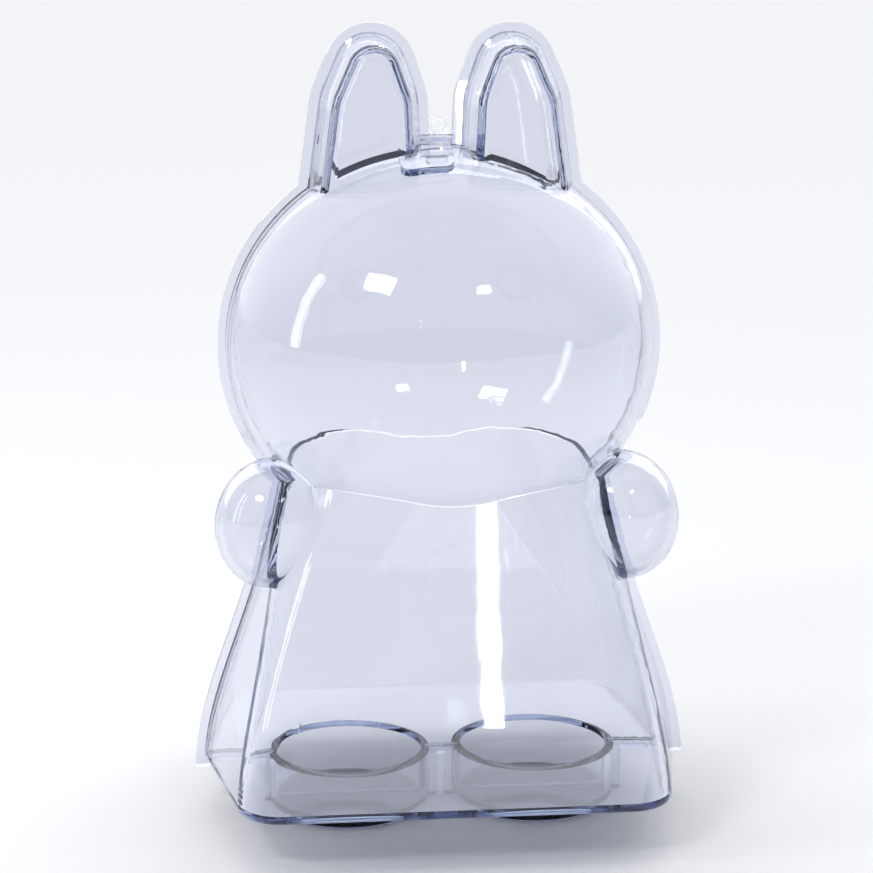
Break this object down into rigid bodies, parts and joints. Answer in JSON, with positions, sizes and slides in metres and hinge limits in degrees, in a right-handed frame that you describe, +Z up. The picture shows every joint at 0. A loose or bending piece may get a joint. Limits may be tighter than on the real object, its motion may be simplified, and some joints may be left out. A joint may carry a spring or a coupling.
{
  "type": "rabbit water bottle",
  "caption": "Clear plastic rabbit-shaped bottle: two half shells with a proud seam, two cup feet, two arms and a small looped stopper between the ears.",
  "frame": {"origin": "on the ground, midway between the two feet", "axes": "+Z up, the rabbit faces -Y, so its seam lies in the XZ plane"},
  "size_m": [0.1066, 0.084, 0.1684],
  "materials": {
    "clear_shell": "gloss",
    "clear_stopper": "gloss"
  },
  "bodies": {
    "back_body": {"back_shell": "clear_shell"},
    "front_body": {"front_shell": "clear_shell"},
    "stopper_body": {"stopper": "clear_stopper"}
  },
  "joints": [
    {"name": "front_shell_pull", "type": "slide", "parent": "back_body", "child": "front_body", "axis": [0, -1, 0], "range_m": [0, 0.06]},
    {"name": "stopper_lift", "type": "slide", "parent": "back_body", "child": "stopper_body", "axis": [0, 0, 1], "range_m": [0, 0.02]}
  ]
}
